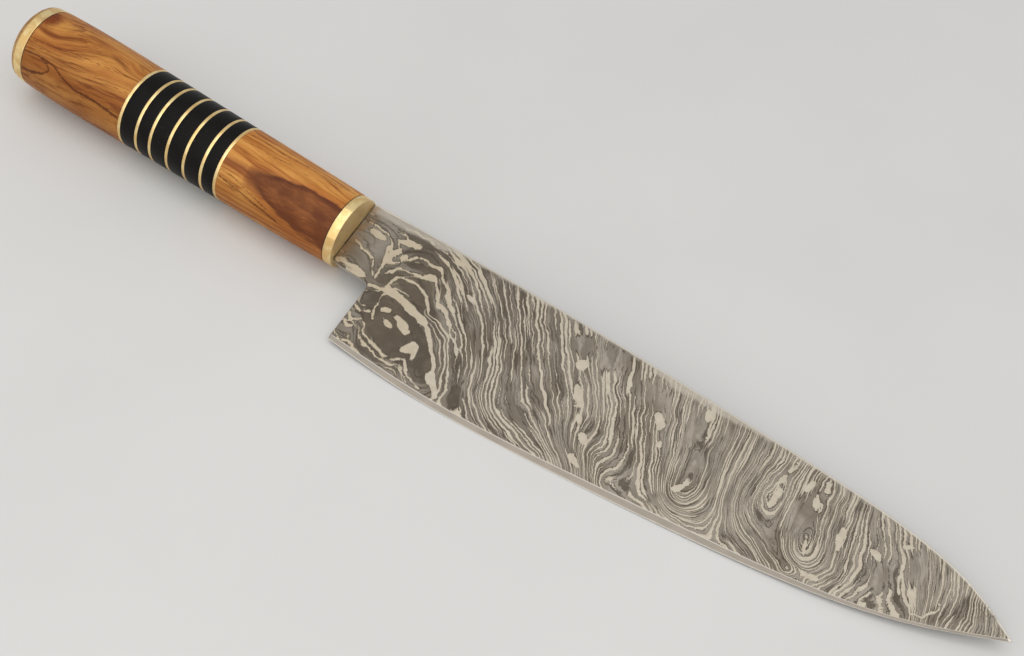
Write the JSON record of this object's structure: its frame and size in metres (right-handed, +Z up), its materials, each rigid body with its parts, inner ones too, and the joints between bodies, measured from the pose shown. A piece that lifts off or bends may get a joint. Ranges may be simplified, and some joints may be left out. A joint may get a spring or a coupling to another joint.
{
  "type": "chef knife",
  "caption": "Chef knife with a pattern-welded steel blade and a round handle of wood, black resin rings and brass, stacked on a hidden tang.",
  "frame": {"origin": "centre of the bounding box's underside, on the surface the knife lies on", "axes": "+X along the handle towards the tip, +Y towards the spine, +Z up; the knife is rolled and pitched as it rests on its handle and the belly of its edge"},
  "size_m": [0.3432, 0.045, 0.028],
  "materials": {
    "damascus_steel": "acid-etched pattern-welded steel, light and dark layers, satin bevel",
    "brass": "hand-polished brass with faint file facets",
    "wood": "oiled hardwood, golden tan with darker heartwood",
    "black_resin": "polished black resin or horn",
    "glue": "cured dark epoxy",
    "plain_steel": "plain turned steel"
  },
  "bodies": {
    "root": {"blade": "damascus_steel", "ferrule": "brass", "ferrule_glue_line": "glue", "front_wood": "wood", "brass_ring_1": "brass", "black_ring_1": "black_resin", "brass_ring_2": "brass", "black_ring_2": "black_resin", "brass_ring_3": "brass", "black_ring_3": "black_resin", "brass_ring_4": "brass", "black_ring_4": "black_resin", "brass_ring_5": "brass", "black_ring_5": "black_resin", "brass_ring_6": "brass", "black_ring_6": "black_resin", "brass_ring_7": "brass", "rear_wood": "wood", "cap_glue_line": "glue", "butt_cap": "brass", "tang_washer": "plain_steel", "tang_nut": "plain_steel", "tang_epoxy": "glue", "butt_epoxy": "glue"}
  },
  "joints": []
}
